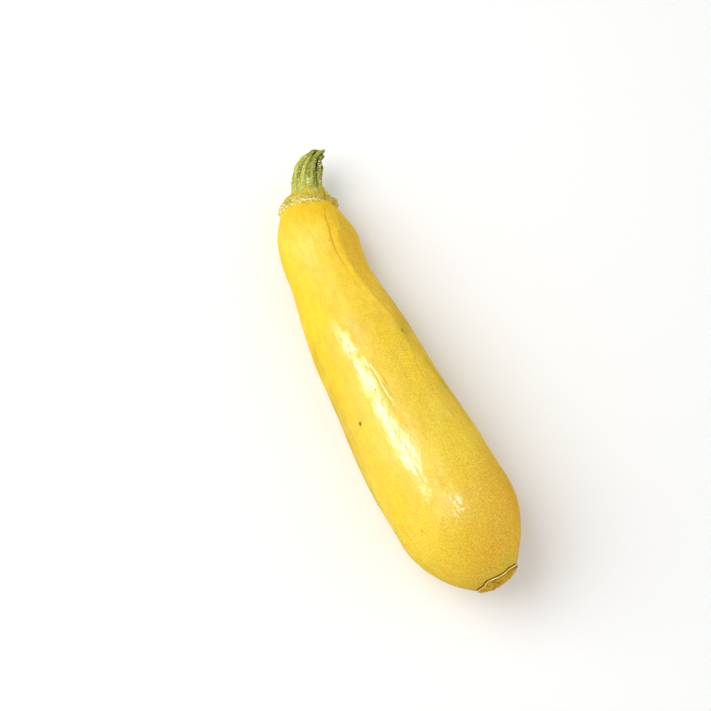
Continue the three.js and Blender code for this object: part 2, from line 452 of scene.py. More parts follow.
fruitShape = {
    # x from the top of the shoulder dome, sideways, height of the centre, radius, all in mm
    "stations": [
        [0, 0.0, 13.8, 17.0], [10, -3.8, 15.6, 17.0], [22, -6.2, 17.3, 17.4], [33, -7.2, 17.8, 17.0],
        [45, -7.8, 19.2, 18.4], [66, -7.5, 21.4, 21.3], [90, -7.0, 22.7, 22.7], [120, -6.0, 24.7, 25.0],
        [150, -3.6, 25.2, 25.6], [170, -1.4, 24.0, 25.6], [188, 1.8, 22.6, 25.6],
    ],
    "shoulderAt": 22.0,
    "bulgeAt": 150.0,
    "noseAt": 187.0,
    "scarAt": 181.0,
    "scarRadius": 9.9,
    "scarHeight": 3.9,
    "scarRoundness": 0.45,
    # [angle in degrees, distance from the middle in mm] of the corners of the scar's rim
    "scarCorners": [
        [0, 9.5], [26, 9.7], [52, 9.9], [66, 10.0], [84, 9.6], [97, 9.9], [118, 11.0], [140, 10.2],
        [163, 10.3], [200, 9.7], [236, 10.1], [275, 9.5], [318, 10.0], [360, 9.5],
    ],
    "shoulderRoundness": 0.36,
    "noseRoundness": 0.78,
    "ribs": 5,
    "neckRib": 0.04,
    "bulgeRib": 0.006,
    "ribFade": 45.0,
    "ribAngle": 0.7,
    "ribTwist": 0.75,
    "ribTwistLength": 45.0,
    "crackWidth": 0.34,
    # [cells along, cells around, height in mm] of the soft dents that break up the shine
    "dents": [[15, 16, 0.15], [34, 42, 0.11], [15, 64, 0.07], [72, 84, 0.06]],
    "dentSink": 0.06,  # mm that the dented skin lies lower, so that it stays inside the solid
    "pressRounding": 0.02,  # how softly the pressed underside turns up, in square mm
    # fine grooves down the neck and along the side: rows of [x, angle, depth in mm]
    "grooves": {
        "crease": [
            [7, 1.13, 0.0], [11, 1.185, 0.14], [17.5, 1.239, 0.22], [23, 1.245, 0.32], [26, 1.272, 0.36],
            [29, 1.255, 0.24], [33, 1.255, 0.18], [38, 1.21, 0.15], [43, 1.19, 0.13], [50, 1.16, 0.10],
            [58, 1.10, 0.06], [68, 1.02, 0.0],
        ],
        "cordFoot": [
            [12, 0.79, 0.0], [17.5, 0.865, 0.04], [25.5, 1.05, 0.07], [34, 1.03, 0.10], [43, 1.015, 0.14],
            [50, 0.972, 0.18], [58, 0.95, 0.20], [65.5, 0.87, 0.17], [72, 0.80, 0.12], [83, 0.83, 0.08],
            [95, 0.94, 0.12], [104, 0.91, 0.13], [115, 0.86, 0.12], [120, 0.79, 0.10], [127, 0.70, 0.0],
        ],
        "edgeLine": [
            [80, 0.74, 0.0], [84, 0.68, 0.08], [90, 0.58, 0.13], [96, 0.42, 0.12], [102, 0.275, 0.10],
            [110, 0.2, 0.0],
        ],
        "branch": [[24.4, 1.24, 0.0], [25.0, 1.27, 0.18], [25.7, 1.36, 0.12], [26.1, 1.43, 0.0]],
        "shoulderLine": [[8, 1.98, 0.0], [10, 1.985, 0.07], [15.5, 2.01, 0.05], [18, 2.02, 0.0]],
    },
    "grooveWidth": 0.33,
    # the cord between the crease and the flank: [x, angle, height in mm]
    "cord": [[3, 1.0, 0.0], [8, 1.05, 0.25], [17.5, 1.06, 0.34], [23, 1.08, 0.38], [26, 1.16, 0.40],
             [34.5, 1.14, 0.38], [40.5, 1.10, 0.36], [47, 1.07, 0.32], [55.5, 1.05, 0.28], [64, 0.97, 0.24],
             [72, 0.89, 0.18], [86, 0.88, 0.0]],
    "cordWidth": 1.35,
    # the flat flank: [x, angle of its upper edge, depth in mm]
    "flank": [
        [0, 0.76, 0.0], [5, 0.77, 0.8], [8, 0.78, 1.6], [12, 0.79, 2.0], [16, 0.84, 1.9],
        [20, 0.90, 1.3], [25, 1.04, 0.95], [34, 1.03, 0.75], [43, 1.015, 0.55], [50, 0.972, 0.42],
        [58, 0.95, 0.32], [68, 0.85, 0.24], [83, 0.82, 0.16], [100, 0.88, 0.13], [118, 0.68, 0.10],
        [132, 0.65, 0.0], [190, 0.65, 0.0],
    ],
    "flankWidth": 0.85,
    "rings": 384,
    "sides": 240,
    "crowding": 0.6,  # how much closer together the lengthwise lines of points lie on the upper side
    "endCrowding": 0.65,  # and the rings at both ends
    "firstRing": 0.0006,  # share of the length at which the first ring lies
    # [forward, inward] in mm, and how much painted shade they get, of the rings that roll over the lip of the
    # crack under the scar
    "lipRoll": [[0.12, 0.12, 0.8], [0.05, 0.3, 1.0], [-0.5, 0.45, 1.0], [-1.4, 1.6, 1.0]],
    "lipShade": 0.35,  # how dark the last ring before them is
    "calmEnds": [[2, 12], [176, 180]],  # between these x the skin is dented in full
    "easedRadius": [[6, 16], [166, 176]],  # between these x the mean radius is smoothed
    "easedLine": [0, 8],  # and past these the middle line
}


def bodyLine(x):
    values = curveThrough(fruitShape["stations"], x.reshape(-1))
    return values.reshape(*x.shape, 3)


def closing(share, roundness):
    return np.maximum(0, 1 - np.clip(share, 0, 1) ** 2) ** roundness


def meanRadius(x):
    s = fruitShape
    radius = bodyLine(x)[..., 2]
    radius = radius * closing((s["shoulderAt"] - x) / s["shoulderAt"], s["shoulderRoundness"])
    return radius * closing((x - s["bulgeAt"]) / (s["noseAt"] - s["bulgeAt"]), s["noseRoundness"])


def ribCrest(x):
    return fruitShape["ribAngle"] + fruitShape["ribTwist"] * np.exp(-x / fruitShape["ribTwistLength"])


def ribHeight(x, angle):
    s = fruitShape
    fade = np.exp(-np.maximum(0, x - s["shoulderAt"]) / s["ribFade"])
    strength = np.minimum(1, x / s["shoulderAt"]) * (s["bulgeRib"] + (s["neckRib"] - s["bulgeRib"]) * fade)
    turned = s["ribs"] * (angle - ribCrest(x))
    return strength * (np.cos(turned) + 0.3 * np.cos(2 * turned))


def scarOutline(angle):
    # the scar's rim: a worn polygon, not a circle
    corners = fruitShape["scarCorners"]
    radius = np.interp(np.degrees(angle) % 360, [row[0] for row in corners], [row[1] for row in corners])
    return radius + 0.07 * np.cos(11 * angle + 1.0) + 0.05 * np.cos(17 * angle)


def fruitAxis():
    # a fine table of the fruit's middle line and of its mean radius, both smoothed
    step, reach, spread = 0.25, 48, 4.0
    x = np.arange(0, fruitShape["scarAt"] + 6, step)
    line = bodyLine(x)
    centres = np.column_stack([x, line[:, 0], line[:, 1]])
    radius = meanRadius(x)
    kernel = bell(np.arange(-reach, reach + 1) * step, spread)
    kernel /= kernel.sum()

    def eased(values):
        padded = np.pad(values, reach, mode="reflect", reflect_type="odd")
        return np.convolve(padded, kernel, mode="valid")

    # the round ends keep their own radius
    radius = radius + (eased(radius) - radius) * within(x, *fruitShape["easedRadius"])
    lineShare = smoothStep(*fruitShape["easedLine"], x)
    for column in (1, 2):
        centres[:, column] += (eased(centres[:, column]) - centres[:, column]) * lineShare
    return x, centres, radius


# where the skin's colours, stipple and wax change: ranges of x in mm, angles in radians
skinZones = {
    # [cells along and around, seed] of the noises that break the borders up
    "wander": [(16, 10), 21],
    "blotch": [(40, 30), 22],
    "waxPatches": [(40, 44), 23],
    "scratchGaps": [(90, 30), 24],
    "goldShoulder": [6, 24],
    "goldStripe": [28, 60],
    "goldStripeAngle": 1.18,
    "goldLeft": [30, 75],
    "leftAngle": 3.3,
    # x ranges of the painted amber shade on the flank and on the right side
    "amberShadeFlank": [50, 100],
    "amberShadeRight": [30, 60],
    "rightAngle": 0.15,
    "tanNose": [140, 177],
    "tanAngle": 0.35,
    "tanLead": 18,  # mm by which the tan starts sooner at that angle
    "oliveNose": [172, 181.5],
    "oliveEdge": [84, 0.60],  # x and angle of the greenish stretch along the edge
    "coarseSide": [55, 85],
    "coarseSpread": [1.3, 1.75],
    "coarseNose": [120, 160],
    "dullNeck": [50, 75],
    "thinAt": 78.5,
    "thinFrom": [116, 136],
    "thinTo": [142, 146],
    "waxyAt": [150.5, 1.6],  # x and angle of the waxy spot on the nose
    # angles from the top over which the painted shade of the lower half fades in
    "paintedShadeSpread": [1.42, 1.95],
    "topAngle": 1.68,
    "neckShadeAt": [26, 0.25],  # x and angle of the shade in the neck's hollow
}


# marks on the skin, placed by x in mm and by angle in radians
blemishes = {
    # [x, angle, half length, half width, depth in mm] of dimples that catch the light
    "dimples": [
        [147.2, 1.640, 1.6, 0.5, 0.12], [150.8, 1.622, 2.0, 0.6, 0.16], [151.6, 1.500, 1.6, 0.6, 0.14],
        [152.6, 1.575, 0.5, 0.5, 0.12], [153.4, 1.690, 1.0, 0.5, 0.10], [75.0, 1.97, 4.0, 4.5, 0.16],
        [93.5, 1.95, 5.0, 5.0, 0.24], [121.0, 1.85, 7.0, 5.0, 0.22], [106.0, 1.90, 4.0, 2.6, -0.10],
        [84.5, 1.96, 3.0, 2.4, -0.08], [69.0, 2.05, 0.6, 0.5, 0.12], [71.5, 1.954, 0.6, 0.5, 0.12],
        [75.8, 1.961, 0.6, 0.5, 0.14], [82.0, 1.976, 0.6, 0.5, 0.12], [86.5, 1.944, 0.6, 0.5, 0.14],
        [90.5, 1.93, 0.7, 0.5, 0.12], [95.8, 1.929, 0.6, 0.5, 0.12], [100.5, 1.90, 0.7, 0.5, 0.12],
        [112.0, 1.86, 0.7, 0.6, 0.10], [128.0, 1.80, 0.8, 0.6, 0.10],
    ],
    # [x, angle, half length, half width, amount] of places where the wax is rubbed thin
    "rubbed": [
        [112.0, 1.755, 7.0, 1.8, 0.7], [107.5, 2.09, 7.0, 1.6, 0.6], [80.0, 1.85, 2.8, 1.3, 0.6],
        [97.0, 2.09, 3.0, 1.3, 0.5], [64.0, 1.98, 6.5, 3.2, 0.55], [72.5, 1.8, 3.5, 1.5, 0.6],
        [121.5, 1.67, 4.5, 1.6, 0.6],
    ],
    # each scratch is rows of [x, angle, strength]
    "scratches": [
        [[110, 1.84, 0.0], [115.8, 1.869, 0.8], [122.8, 1.844, 1.0], [127.8, 1.869, 1.0], [137.2, 1.881, 0.9],
         [145.2, 1.934, 0.4], [148, 1.95, 0.0]],
        [[81, 1.75, 0.0], [84.8, 1.748, 0.9], [90.5, 1.743, 1.0], [96.5, 1.736, 1.0], [101.3, 1.724, 1.0],
         [106.8, 1.722, 0.6], [110, 1.715, 0.0]],
        [[82, 1.66, 0.0], [88, 1.64, 0.6], [94, 1.63, 0.5], [100, 1.62, 0.0]],
    ],
    # fine raised lines beside the second scratch: rows of [x, angle, height in mm]
    "welts": [
        [[84, 1.73, 0.0], [87.8, 1.705, 0.08], [91.3, 1.684, 0.10], [94, 1.663, 0.06], [97, 1.65, 0.0]],
        [[93, 1.72, 0.0], [97, 1.702, 0.08], [101.5, 1.677, 0.10], [106.3, 1.647, 0.06], [110, 1.63, 0.0]],
    ],
    # [x, angle, size in mm, strength] of dark specks and of green bruises
    "specks": [
        [103.75, 2.433, 0.52, 2.4], [73.25, 1.935, 0.4, 0.75], [75.75, 1.99, 0.4, 0.75],
        [81.0, 2.018, 0.4, 0.6], [91.25, 1.965, 0.4, 0.75], [92.0, 2.009, 0.4, 0.6],
        [95.75, 1.865, 0.4, 0.7], [89.5, 1.805, 0.4, 0.6], [101.0, 1.835, 0.4, 0.6],
        [75.8, 0.84, 0.45, 0.7], [76.9, 0.80, 0.35, 0.4], [74.6, 0.80, 0.30, 0.4],
        [23.0, 1.055, 0.4, 0.35], [25.8, 1.33, 0.3, 0.25], [7.2, 1.67, 0.4, 0.35],
        [12.8, 0.764, 0.6, 0.7], [27.0, 0.95, 0.3, 0.3], [139.0, 1.10, 0.4, 0.55],
        [64.0, 2.55, 0.4, 0.5], [152.0, 2.35, 0.45, 0.6], [120.0, 3.4, 0.5, 0.7],
        [88.0, 5.6, 0.5, 0.7],
    ],
    "bruises": [
        [75.8, 0.82, 1.1, 0.75], [77.4, 0.74, 0.9, 0.5], [75.5, 0.80, 3.0, 0.30],
        [60.0, 0.35, 3.0, 0.25], [96.0, 0.42, 5.0, 0.22], [118.0, 5.3, 4.0, 0.25],
    ],
    "scratchWidth": 0.3,
    "scratchDepth": 0.09,
    "weltWidth": 0.5,
    "bruiseStretch": 0.7,  # under 1 makes a bruise longer than it is wide
}


def skinMasks(x, angle, past, grooves, scratch, patchAt):
    # 0..1 for each colour and finish of the skin; past is the angle past the edge of the flat flank
    z = skinZones
    along = x / fruitShape["scarAt"]
    wander, blotch, waxNoise, scratchNoise = [
        softNoise(along, angle, *z[name]) for name in ("wander", "blotch", "waxPatches", "scratchGaps")]
    onFlank = smoothStep(-0.02, 0.05, past) * (1 - smoothStep(0.6, 1.0, past)) * smoothStep(4, 12, x)
    onLeft = 1 - smoothStep(0.35, 0.9, np.abs(angleFrom(angle, z["leftAngle"])))
    onRight = bell(angleFrom(angle, z["rightAngle"]), 0.62)
    onStripe = bell(angleFrom(angle, z["goldStripeAngle"]), 0.2)
    gold = strongest(x, [
        0.95 * (1 - smoothStep(*z["goldShoulder"], x + 5 * wander)),
        0.7 * onStripe * (1 - smoothStep(*z["goldStripe"], x)),
        0.95 * onLeft * (1 - smoothStep(*z["goldLeft"], x)),
    ])
    # painted shade: deeper amber over the flat flank and along the right side, away from the light
    amber = np.maximum(
        onFlank * (1 - smoothStep(*z["amberShadeFlank"], x + 6 * wander)) * (0.85 + 0.3 * blotch),
        0.4 * onRight * smoothStep(*z["amberShadeRight"], x) * (0.9 + 0.5 * blotch))
    tan = smoothStep(*z["tanNose"], x + 7 * wander + z["tanLead"] * np.cos(angle - z["tanAngle"]))
    edgeX, edgeAngle = z["oliveEdge"]
    onEdge = bell(angleFrom(angle, edgeAngle), 0.33) * bell(x - edgeX, 22)
    olive = np.maximum(
        0.75 * smoothStep(*z["oliveNose"], x + 2.5 * wander + 1.5 * blotch),
        onEdge * np.clip(0.30 + 0.55 * blotch, 0, 1))
    # the stipple is coarse on the right and the nose, fine and faint on the neck and the left
    coarse = np.maximum(
        smoothStep(*z["coarseSide"], x) * (1 - smoothStep(*z["coarseSpread"], np.abs(angleFrom(angle, 0)))),
        smoothStep(*z["coarseNose"], x))
    # the wax is patchy, thin where the shine begins and ends, and thick on a spot of the nose
    patchy = smoothStep(0.05, 0.7, waxNoise)
    thin = 0.55 * bell(x - z["thinAt"], 2.0)
    thin = thin + 0.25 * within(x, z["thinFrom"], z["thinTo"])
    waxyX, waxyAngle = z["waxyAt"]
    waxy = bell((x - waxyX) / 6, 1.0) * bell(angleFrom(angle, waxyAngle), 0.3)
    rubbed = strongest(x, [amount * patchAt(*place) for *place, amount in blemishes["rubbed"]])
    # painted shade: the skin is made darker and browner below the middle and in the neck's hollow, where
    # shade falls
    shadedBelow = smoothStep(*z["paintedShadeSpread"], np.abs(angleFrom(angle, z["topAngle"])) + 0.04 * blotch)
    hollowX, hollowAngle = z["neckShadeAt"]
    neckHollowShade = bell(x - hollowX, 12) * bell(angleFrom(angle, hollowAngle), 0.45)
    stretch = blemishes["bruiseStretch"]
    return {
        "gold": gold,
        "amber": amber,
        "tan": tan,
        "olive": olive,
        "crease": np.clip(grooves * 2.6, 0, 0.65),
        "scratch": 0.4 * scratch * smoothStep(-0.6, 0.2, scratchNoise),
        "dull": 1 - smoothStep(*z["dullNeck"], x + 2 * wander),
        "worn": (0.45 * patchy + thin + 0.75 * coarse) * (1 - 0.8 * waxy) + rubbed,
        "grit": 0.45 + 0.55 * np.maximum(coarse, onFlank),
        "paintedUnderShade": (0.42 - 0.14 * smoothStep(0.2, 1.2, -np.cos(angle))) * shadedBelow + 0.28 * neckHollowShade,
        "bruise": strongest(x, [
            depth * patchAt(*place, size / stretch, size) for *place, size, depth in blemishes["bruises"]]),
        "speck": strongest(x, [
            depth * patchAt(*place, size, size) for *place, size, depth in blemishes["specks"]]),
    }


def makeFruit():
    s = fruitShape
    axisX, centres, radii = fruitAxis()
    tangents, across, over = framesAlong(centres)
    turn = np.linspace(0, 2 * math.pi, s["sides"], endpoint=False) - math.pi / 2
    angle = (turn + s["crowding"] * np.cos(turn))[None, :]
    # each lengthwise line of points ends where it meets the scar's rim
    rimRadius = scarOutline(angle[0]) + s["crackWidth"]
    nose = axisX > s["bulgeAt"]
    endAt = np.interp(-rimRadius, -radii[nose], axisX[nose])[None, :]
    u = np.linspace(0, 1, s["rings"])
    u = (1 - s["endCrowding"]) * u + s["endCrowding"] * 0.5 * (1 - np.cos(math.pi * u))
    x = (s["firstRing"] + (1 - s["firstRing"]) * u[:, None]) * endAt
    angle = np.broadcast_to(angle, x.shape)
    along = x / s["scarAt"]
    radius = np.interp(x, axisX, radii)

    def table(values):
        return np.stack([np.interp(x, axisX, values[:, k]) for k in range(3)], axis=-1)

    def lineAlong(rows, width, wobble=0):
        lineAngle, strength = rowsAlong(rows, x)
        strength = strength * (x > rows[0][0]) * (x < rows[-1][0])
        return strength * bell(angleFrom(angle, lineAngle + wobble) * radius, width)

    def patchAt(spotX, spotAngle, length, width):
        return patchOver(x - spotX, angleFrom(angle, spotAngle) * radius, length, width)

    # the raised cord, and the flat flank past it; 27/4 makes its hollow as deep as it says
    flankEdge, flankDepth = rowsAlong(s["flank"], x)
    past = angleFrom(flankEdge, angle)
    share = np.clip(past / s["flankWidth"], 0, 1)
    cordAngle, cordHeight = rowsAlong(s["cord"], x)
    cord = cordHeight * bell(angleFrom(angle, cordAngle) * radius, s["cordWidth"])
    shaped = radius * (1 + ribHeight(x, angle)) + cord - 27 / 4 * flankDepth * share * (1 - share) ** 2
    # fine grooves, soft dents and the blemishes
    wobble = 0.010 * np.sin(x * 0.9) + 0.006 * np.sin(x * 2.3)
    grooves = strongest(x, [lineAlong(rows, s["grooveWidth"], wobble) for rows in s["grooves"].values()])
    scratch = strongest(x, [lineAlong(rows, blemishes["scratchWidth"], 0.006 * np.sin(x * 1.7))
                            for rows in blemishes["scratches"]])
    welts = strongest(x, [lineAlong(rows, blemishes["weltWidth"]) for rows in blemishes["welts"]])
    dents = sum(softNoise(along, angle, (rows, columns), 11 + rows + columns) * height
                for rows, columns, height in s["dents"])
    dimples = sum(depth * patchAt(*place) for *place, depth in blemishes["dimples"])
    calmStart, calmEnd = s["calmEnds"]
    calm = smoothStep(*calmStart, x) * (1 - smoothStep(*calmEnd, x) * 0.5)  # less dented at both ends
    shaped = shaped - grooves + calm * (dents - s["dentSink"]) + welts
    shaped = shaped - blemishes["scratchDepth"] * scratch - dimples
    points = ringsAbout(table(centres), table(across), table(over), shaped, angle)
    # where the fruit lies on the surface its underside is pressed level
    z = points[..., 2]
    points[..., 2] = 0.5 * (z + np.sqrt(z * z + s["pressRounding"]))
    # the skin rolls over the lip of the crack and closes under the scar
    endCentres, endTangents = table(centres)[-1], table(tangents)[-1]
    spokes = points[-1] - endCentres
    spokes /= np.linalg.norm(spokes, axis=1)[:, None]
    rolled = [points[-1] + endTangents * forward - spokes * inward for forward, inward, _ in s["lipRoll"]]
    masks = {
        name: np.clip(np.concatenate([mask, np.repeat(mask[-1:], len(rolled), axis=0)]), 0, 1)
        for name, mask in skinMasks(x, angle, past, grooves, scratch, patchAt).items()
    }
    points = np.concatenate([points, np.array(rolled)])
    # painted shade in the crack: the rolled-in rings take the crease colour and some of the speck colour
    rolledCrackShade = np.zeros(points.shape[:2])
    rolledCrackShade[-len(rolled) - 1] = s["lipShade"]
    rolledCrackShade[-len(rolled):] = np.array([dark for _, _, dark in s["lipRoll"]])[:, None]
    masks["crease"] = np.maximum(masks["crease"], rolledCrackShade)
    masks["speck"] = np.maximum(masks["speck"], rolledCrackShade * 0.45)
    return points, masks


def placeOfLoft():
    # the shift from the loft's own axes to the frame: the bare loft, without detail, lies on the solid's box
    s = fruitShape
    low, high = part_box("fruit")
    x = np.linspace(0.1, s["scarAt"] + s["scarHeight"], 600)
    line = bodyLine(x)
    centres = np.column_stack([x, line[:, 0], line[:, 1]])
    _, across, over = framesAlong(centres)
    scarEnd = s["scarRadius"] * closing((x - s["scarAt"]) / s["scarHeight"], s["scarRoundness"])
    radius = np.where(x > s["scarAt"], scarEnd, meanRadius(x))[:, None]
    angle = np.linspace(0, 2 * math.pi, 200, endpoint=False)[None, :]
    radius = radius * (1 + ribHeight(x[:, None], angle))
    points = ringsAbout(centres[:, None], across[:, None], over[:, None], radius, angle)
    lowest, highest = points.min(axis=(0, 1)), points.max(axis=(0, 1))
    return np.array([
        high[0] / mm - highest[0],
        (low[1] + high[1]) / 2 / mm - (lowest[1] + highest[1]) / 2,
        low[2] / mm,
    ])


fruitPoints, fruitMasks = makeFruit()
middle = placeOfLoft()
fruitPoints += middle
squashFruit = skinOver("squashFruit", fruitPoints, fruitPoints[0].mean(axis=0), fruitPoints[-1].mean(axis=0),
                       fruitMasks, skinMaterial)
print("fruit made, shifted by", middle.round(3))
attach(squashFruit, "root")
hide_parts("fruit")


# the blossom scar on the nose

scarFinish = {
    "cork": colour(212, 164, 34),
    "paleCork": colour(234, 192, 62),
    "golden": colour(242, 188, 28),
    "pink": colour(214, 156, 92),
    "rust": colour(140, 94, 18),
    "lip": colour(255, 246, 168),
    # painted shade: dark colour inside the crack under the lip and along the seam between the lip and the
    # button
    "scarCrackShade": colour(112, 74, 12),
    "clouds": 260.0,  # scale of the patchy tone, then of the rusty spots and of the crust
    "spots": 900.0,
    "crust": 1100.0,
    "rustySpots": 0.4,
    "roughness": 0.55,
    "cloudRoughness": 0.15,
    "bump": [0.5, 0.00008],  # strength, and depth in metres
    "constants": {"IOR": 1.45, "Specular IOR Level": 0.2},
}

scarShape = {
    # [share of the rim's radius, height past the rim in mm], from under the skin up over the lip
    "lip": [
        [0.50, -2.2], [0.85, -2.1], [0.92, -1.4], [0.945, -0.7], [0.950, -0.1], [0.950, 0.22],
        [0.955, 0.38], [0.975, 0.46], [0.998, 0.54], [1.010, 0.68], [1.014, 0.88], [1.008, 1.06],
        [0.990, 1.18], [0.966, 1.26], [0.948, 1.36], [0.944, 1.48], [0.954, 1.58], [0.960, 1.68],
        [0.948, 1.80], [0.925, 1.88], [0.900, 1.94],
    ],
    # [angle, half width in radians] of the gaps in the pale lip
    "lipGaps": [[2.62, 0.05], [2.11, 0.11], [1.55, 0.07], [1.15, 0.16]],
    "gapDepth": 0.25,
    "lastLipRing": 12,  # the button starts past this one
    "domeSpan": [0.875, 0.02],
    "domeRings": 52,
    "sides": 240,
    # [cells inwards and around, seed] of the noises of the button, then of the lip
    "dashes": [(9, 112), 31],
    "bumps": [(9, 14), 32],
    "patches": [(4, 7), 36],
    "breaks": [(3, 29), 33],
    "widths": [(3, 31), 34],
    "plate": 1.1,  # size of the cork plates in mm
    # in mm: how high the plates and the bumps stand, how deep the dashes cut, how far it is all worn down
    "plateHeight": 0.36,
    "bumpHeight": 0.22,
    "dashDepth": 0.26,
    "wear": 0.24,
    # heights past the rim in mm, as ranges, or as the middle and half width of a line
    "underLip": [0.38, 0.52],
    "paleLip": [[0.48, 0.60], [0.86, 1.02]],
    "lipLine": [0.86, 0.26],
    "seamLine": [1.36, 0.24],
    "button": [1.5, 1.85],
    "pinkAngle": [0.45, 0.4],  # middle and half width, in radians
}


def makeScarMaterial():
    finish = scarFinish
    material, tree, shader = newMaterial("blossomScarCork")
    place = placeOf(tree)
    clouds = mottleOf(tree, place, finish["clouds"])
    tone = mixColour(tree, clouds, finish["cork"], finish["paleCork"])
    tone = layered(tree, tone, finish, ["golden", "pink"])
    spots = useGroup(tree, fineSpots, Vector=place, Scale=finish["spots"], Coverage=0.5)["Mask"]
    tone = stained(tree, tone, spots, finish["rustySpots"], finish["rust"])
    tone = layered(tree, tone, finish, ["rust", "lip", "scarCrackShade"])
    fill(tree, shader.inputs["Base Color"], tone)
    rough = maths(tree, "MULTIPLY_ADD", clouds, finish["cloudRoughness"], finish["roughness"])
    fill(tree, shader.inputs["Roughness"], rough)
    crust = useGroup(tree, corkCrust, Vector=place, Scale=finish["crust"])["Height"]
    bumped(tree, shader, crust, *finish["bump"])
    setConstants(shader, finish["constants"])
    return material


def makeScar():
    s = fruitShape
    axisX, centres, _ = fruitAxis()
    tangents, across, over = framesAlong(centres)
    k = int(np.argmin(np.abs(axisX - s["scarAt"])))
    origin, ahead, side, up = centres[k], tangents[k], across[k], over[k]
    # rings up over the lip, then in over the dome
    lipRings = np.array(scarShape["lip"])
    domeShare = np.linspace(*scarShape["domeSpan"], scarShape["domeRings"])
    domeHeight = s["scarHeight"] * np.sqrt(1 - domeShare ** (1 / s["scarRoundness"]))
    share = np.concatenate([lipRings[:, 0], domeShare])[:, None]
    height = np.concatenate([lipRings[:, 1], domeHeight])[:, None]
    angle = np.linspace(0, 2 * math.pi, scarShape["sides"], endpoint=False)[None, :] - math.pi / 2
    angle = np.broadcast_to(angle, (len(share), angle.shape[1]))
    outline = scarOutline(angle)
    inwards = 1 - share + 0 * angle
    # the rim keeps level with the edge of the skin all the way round
    nose = axisX > s["bulgeAt"]
    skinEnd = np.interp(-(outline[:1] + s["crackWidth"]), -meanRadius(axisX[nose]), axisX[nose])
    lift = height + (skinEnd - s["scarAt"]) * smoothStep(0.3, 0.95, share)
    # cork plates, and radial dashes where the flower's tissue tore, strongest towards the rim
    inside = np.arange(len(share))[:, None] > scarShape["lastLipRing"]
    button = smoothStep(*scarShape["button"], height) * inside
    reach = outline * share
    flatPoints = np.stack([reach * np.cos(angle), reach * np.sin(angle), 0 * angle], axis=-1)
    border, plateTone = cellPattern(flatPoints, scarShape["plate"], 35)
    dash = smoothStep(0.25, 0.55, softNoise(inwards, angle, *scarShape["dashes"]))
    dash = dash * smoothStep(0.30, 0.6, share)
    relief = scarShape["plateHeight"] * smoothStep(0, 0.25, border) * plateTone
    relief = relief - scarShape["dashDepth"] * dash - scarShape["wear"]
    relief = relief + scarShape["bumpHeight"] * softNoise(inwards, angle, *scarShape["bumps"])
    lift = lift + button * smoothStep(0.0, 0.15, 0.95 - share) * relief
    # the lip is broken, and uneven in width
    halfway = 0 * angle + 0.5
    broken = smoothStep(-0.22, 0.04, softNoise(halfway, angle, *scarShape["breaks"]))
    for gapAngle, halfWidth in scarShape["lipGaps"]:
        broken = broken * (1 - bell(angleFrom(angle, gapAngle), halfWidth))
    wide = smoothStep(-0.3, 0.5, softNoise(halfway, angle, *scarShape["widths"]))
    lipHeight, lipWidth = scarShape["lipLine"]
    onLip = bell(height - lipHeight, lipWidth + 0.08 * wide)
    radius = outline * share - scarShape["gapDepth"] * onLip * (1 - broken)
    radius = radius - 0.2 * button * dash * smoothStep(0.8, 0.9, share)
    points = ringsAbout(origin + ahead * lift[..., None], side, up, radius, angle)
    patch = softNoise(inwards, angle, *scarShape["patches"])
    # painted shade: this colour darkens the scar below its lip, inside the crack, and along the seam between
    # the lip and the button
    underLip = 1 - smoothStep(*scarShape["underLip"], height)
    seamHeight, seamWidth = scarShape["seamLine"]
    seam = bell(height - seamHeight, seamWidth)  # the dark line between the lip and the button
    pinkAngle, pinkWidth = scarShape["pinkAngle"]
    masks = {
        "lip": within(height, *scarShape["paleLip"]) * (0.05 + 0.95 * broken),
        "scarCrackShade": underLip + 0.85 * seam * (0.4 + 0.6 * broken),
        "rust": button * (0.65 * dash + 0.45 * (1 - smoothStep(0, 0.16, border)) + 0.3 * (plateTone - 0.5)),
        "golden": button * smoothStep(0.0, 0.5, patch + 0.3 * (share - 0.5)),
        "pink": 0.7 * bell(angleFrom(angle, pinkAngle), pinkWidth) * smoothStep(0.6, 0.95, share),
    }
    masks = {name: np.clip(mask + 0 * angle, 0, 1) for name, mask in masks.items()}
    return points + middle, masks


scarPoints, scarMasks = makeScar()
blossomScar = skinOver("blossomScar", scarPoints, scarPoints[0].mean(axis=0), scarPoints[-1].mean(axis=0),
                       scarMasks, makeScarMaterial())
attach(blossomScar, "root")
print("blossom scar made")


# the stem with its flared foot

stemFinish = {
    "green": colour(168, 172, 54),
    "paleGreen": colour(212, 212, 100),
    "darkGreen": colour(84, 90, 18),
    # painted shade: near-black in the grooves
    "groove": colour(28, 24, 2),
    "foot": colour(206, 182, 36),
    "footGrain": colour(250, 232, 116),
    "cream": colour(255, 250, 196),
    "clay": colour(198, 156, 54),
    "pit": colour(140, 102, 12),
    "fleck": colour(240, 238, 150),
    # painted highlight: the colour of the glints
    "paintedGlint": colour(252, 248, 206),
    "cut": colour(104, 84, 36),
    "pith": colour(196, 178, 96),
    # each pattern's scale and its stretch; grain and fibres follow the stem
    "clouds": [240.0, (0.6, 1.0, 1.0)],
    "grain": [1500.0, (0.45, 1.0, 1.0)],
    "fibres": [1500.0, (0.07, 1.0, 1.0)],
    "spots": 1050.0,
    "crust": 1500.0,
    # how strongly each of them stains the stem, and the foot
    "grainAmount": 0.55,
    "fibreAmount": 0.50,
    "spotAmount": 0.9,
    "footGrainAmount": 0.6,
    "footSpotAmount": 0.6,
    # how much each of them adds to the bumps or takes from them
    "grainHeight": 0.6,
    "spotHeight": 0.5,
    "fibreDepth": 0.9,
    "crustHeight": 0.7,
    "bump": [0.7, 0.00013],  # strength, and depth in metres
    "roughness": 0.5,
    "cloudRoughness": 0.15,
    "constants": {
        "IOR": 1.45,
        "Specular IOR Level": 0.15,
        "Subsurface Weight": 0.08,
        "Subsurface Radius": (0.6, 0.8, 0.2),
        "Subsurface Scale": 0.001,
    },
}

